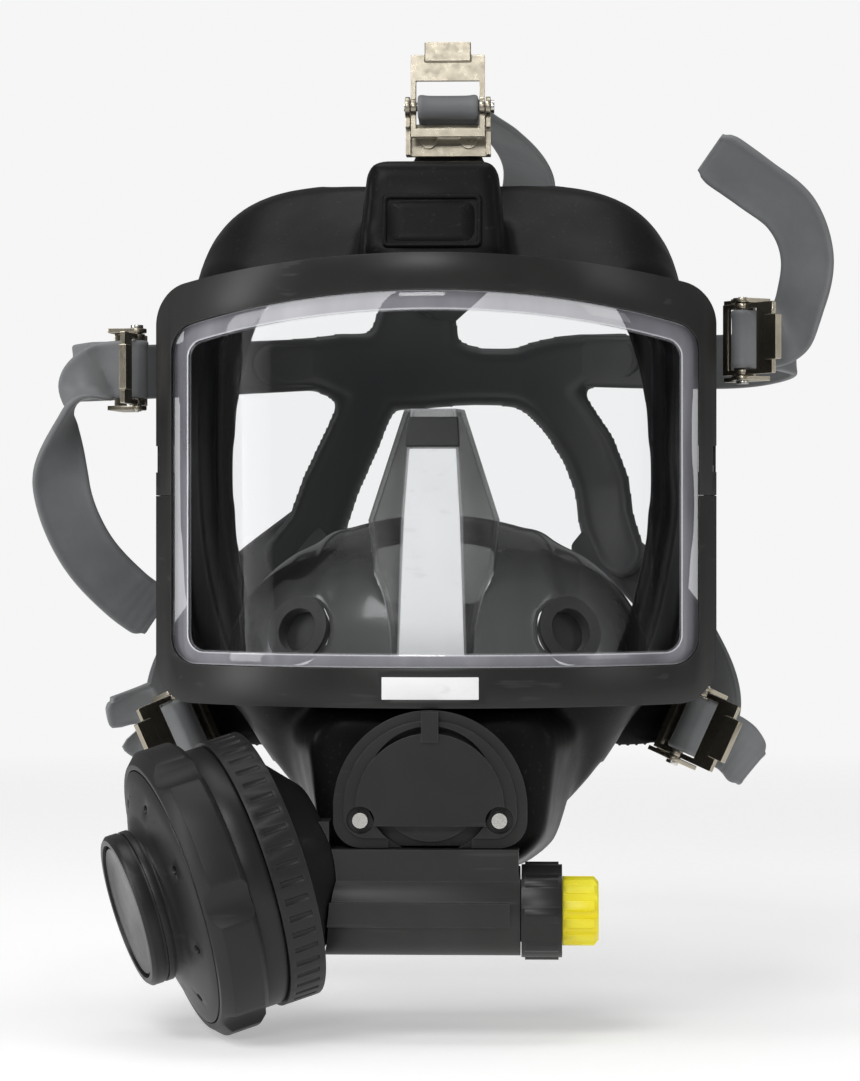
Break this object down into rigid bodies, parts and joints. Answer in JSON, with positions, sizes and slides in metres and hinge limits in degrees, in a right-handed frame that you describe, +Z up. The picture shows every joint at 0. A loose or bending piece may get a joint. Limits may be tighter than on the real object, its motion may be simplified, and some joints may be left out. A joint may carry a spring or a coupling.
{
  "type": "full face respirator",
  "caption": "Full face breathing mask: rubber skirt, curved clear visor in a clamped frame, inner mask, chin exhaust valve, side demand regulator and a buckled rubber head harness.",
  "frame": {"origin": "centre of the face seal's opening", "axes": "+Z up, +Y from the visor towards the wearer's head, +X towards the viewer's right when the visor is seen from the front"},
  "size_m": [0.2481, 0.2429, 0.2916],
  "materials": {
    "clear_visor": "clear polycarbonate, glossy",
    "frame_plastic": "satin moulded black",
    "white_plate": "blank printed plate",
    "steel": "bright",
    "brass": "machined",
    "bronze": "sintered",
    "skirt_rubber": "satin moulded rubber",
    "smoky_cup": "translucent smoky silicone",
    "clear_nose": "clear moulded plastic",
    "clip_black": "black",
    "valve_rubber": "thin silicone",
    "port_plastic": "satin",
    "body_plastic": "satin",
    "nut_black": "black",
    "yellow_plastic": "yellow moulded",
    "case_plastic": "satin",
    "ring_plastic": "satin",
    "button_rubber": "satin",
    "inner_steel": "stamped",
    "buckle_steel": "warm nickel plate, worn",
    "strap_rubber": "blue-grey black rubber"
  },
  "bodies": {
    "mask": {"buckle_bases": "buckle_steel", "buckle_pins": "steel", "button_spring": "steel", "check_valve_seats": "smoky_cup", "clamp_ring": "ring_plastic", "cover_pins": "steel", "diaphragm": "valve_rubber", "exhaust_cover": "port_plastic", "exhaust_spring": "steel", "face_skirt": "skirt_rubber", "frame_inserts": "brass", "frame_lower": "frame_plastic", "frame_screws": "steel", "frame_upper": "frame_plastic", "front_cover": "case_plastic", "harness_plate": "strap_rubber", "inlet_filter": "bronze", "inlet_seal": "valve_rubber", "inner_mask": "smoky_cup", "lever_pin": "steel", "lug_rivets": "buckle_steel", "name_plate": "white_plate", "nose_bridge": "clear_nose", "nose_clip": "clip_black", "nose_strip": "white_plate", "poppet_spring": "steel", "port_band": "steel", "port_body": "port_plastic", "port_seal": "valve_rubber", "regulator_case": "case_plastic", "strap_chin_left": "strap_rubber", "strap_chin_right": "strap_rubber", "strap_temple_left": "strap_rubber", "strap_temple_right": "strap_rubber", "strap_top": "strap_rubber", "valve_body": "body_plastic", "valve_nozzle": "brass", "visor": "clear_visor"},
    "buckle_frame_chin_left": {"buckle_frame_chin_left": "buckle_steel"},
    "buckle_frame_chin_right": {"buckle_frame_chin_right": "buckle_steel"},
    "buckle_frame_temple_left": {"buckle_frame_temple_left": "buckle_steel"},
    "buckle_frame_temple_right": {"buckle_frame_temple_right": "buckle_steel"},
    "buckle_frame_top": {"buckle_frame_top": "buckle_steel"},
    "check_flap_left": {"check_flap_left": "valve_rubber"},
    "check_flap_right": {"check_flap_right": "valve_rubber"},
    "demand_lever": {"demand_lever": "inner_steel"},
    "diaphragm_plate": {"diaphragm_plate": "inner_steel"},
    "dust_plug": {"dust_plug": "yellow_plastic"},
    "exhaust_disc": {"exhaust_disc": "valve_rubber"},
    "inlet_nut": {"inlet_nut": "nut_black"},
    "mode_ring": {"mode_ring": "ring_plastic"},
    "poppet": {"poppet": "brass"},
    "purge_button": {"purge_button": "button_rubber"}
  },
  "joints": [
    {"name": "purge_press", "type": "slide", "parent": "mask", "child": "purge_button", "axis": [0.9059, 0.317, 0.281], "range_m": [0, 0.004], "stiffness_N_per_m": 800, "deforming": ["button_spring"]},
    {"name": "diaphragm_stroke", "type": "slide", "parent": "mask", "child": "diaphragm_plate", "axis": [0.9059, 0.317, 0.281], "range_m": [0, 0.004], "deforming": ["diaphragm"]},
    {"name": "lever_swing", "type": "hinge", "parent": "mask", "child": "demand_lever", "pos_m": [-0.05882, -0.11277, -0.11232], "axis": [0.2652, 0.0928, -0.9597], "range_deg": [0, 12]},
    {"name": "poppet_stroke", "type": "slide", "parent": "mask", "child": "poppet", "axis": [0.3303, -0.9439, 0], "range_m": [0, 0.0025], "deforming": ["poppet_spring"]},
    {"name": "mode_turn", "type": "hinge", "parent": "mask", "child": "mode_ring", "pos_m": [-0.0686, -0.095, -0.1133], "axis": [-0.9059, -0.317, -0.281], "range_deg": [0, 60]},
    {"name": "nut_turn", "type": "hinge", "parent": "mask", "child": "inlet_nut", "pos_m": [0.032, -0.094, -0.1192], "axis": [1, 0, 0], "continuous": true},
    {"name": "plug_pull", "type": "slide", "parent": "inlet_nut", "child": "dust_plug", "axis": [1, 0, 0], "range_m": [0, 0.05]},
    {"name": "exhaust_open", "type": "slide", "parent": "mask", "child": "exhaust_disc", "axis": [0, -1, 0], "range_m": [0, 0.002], "stiffness_N_per_m": 200, "deforming": ["exhaust_spring"]},
    {"name": "check_left_open", "type": "slide", "parent": "mask", "child": "check_flap_left", "axis": [0.4979, 0.823, -0.2734], "range_m": [0, 0.0015], "stiffness_N_per_m": 100},
    {"name": "check_right_open", "type": "slide", "parent": "mask", "child": "check_flap_right", "axis": [-0.4979, 0.823, -0.2734], "range_m": [0, 0.0015], "stiffness_N_per_m": 100},
    {"name": "buckle_top_tilt", "type": "hinge", "parent": "mask", "child": "buckle_frame_top", "pos_m": [0.0042, -0.068, 0.1169], "axis": [1, 0, 0], "range_deg": [0, 35]},
    {"name": "buckle_temple_right_tilt", "type": "hinge", "parent": "mask", "child": "buckle_frame_temple_right", "pos_m": [0.094, -0.028, 0.05], "axis": [0, 0, -1], "range_deg": [0, 35]},
    {"name": "buckle_temple_left_tilt", "type": "hinge", "parent": "mask", "child": "buckle_frame_temple_left", "pos_m": [-0.0936, -0.028, 0.041], "axis": [0, 0, 1], "range_deg": [0, 25]},
    {"name": "buckle_chin_right_tilt", "type": "hinge", "parent": "mask", "child": "buckle_frame_chin_right", "pos_m": [0.078, -0.02, -0.069], "axis": [-0.4108, -0.0358, -0.911], "range_deg": [0, 35]},
    {"name": "buckle_chin_left_tilt", "type": "hinge", "parent": "mask", "child": "buckle_frame_chin_left", "pos_m": [-0.078, -0.022, -0.07], "axis": [-0.4108, 0.0358, 0.911], "range_deg": [0, 35]}
  ],
  "couplings": [
    {"joint": "diaphragm_stroke", "follows": "purge_press", "ratio": 1},
    {"joint": "lever_swing", "follows": "purge_press", "rad_per_m": 50},
    {"joint": "poppet_stroke", "follows": "purge_press", "ratio": 0.57}
  ]
}
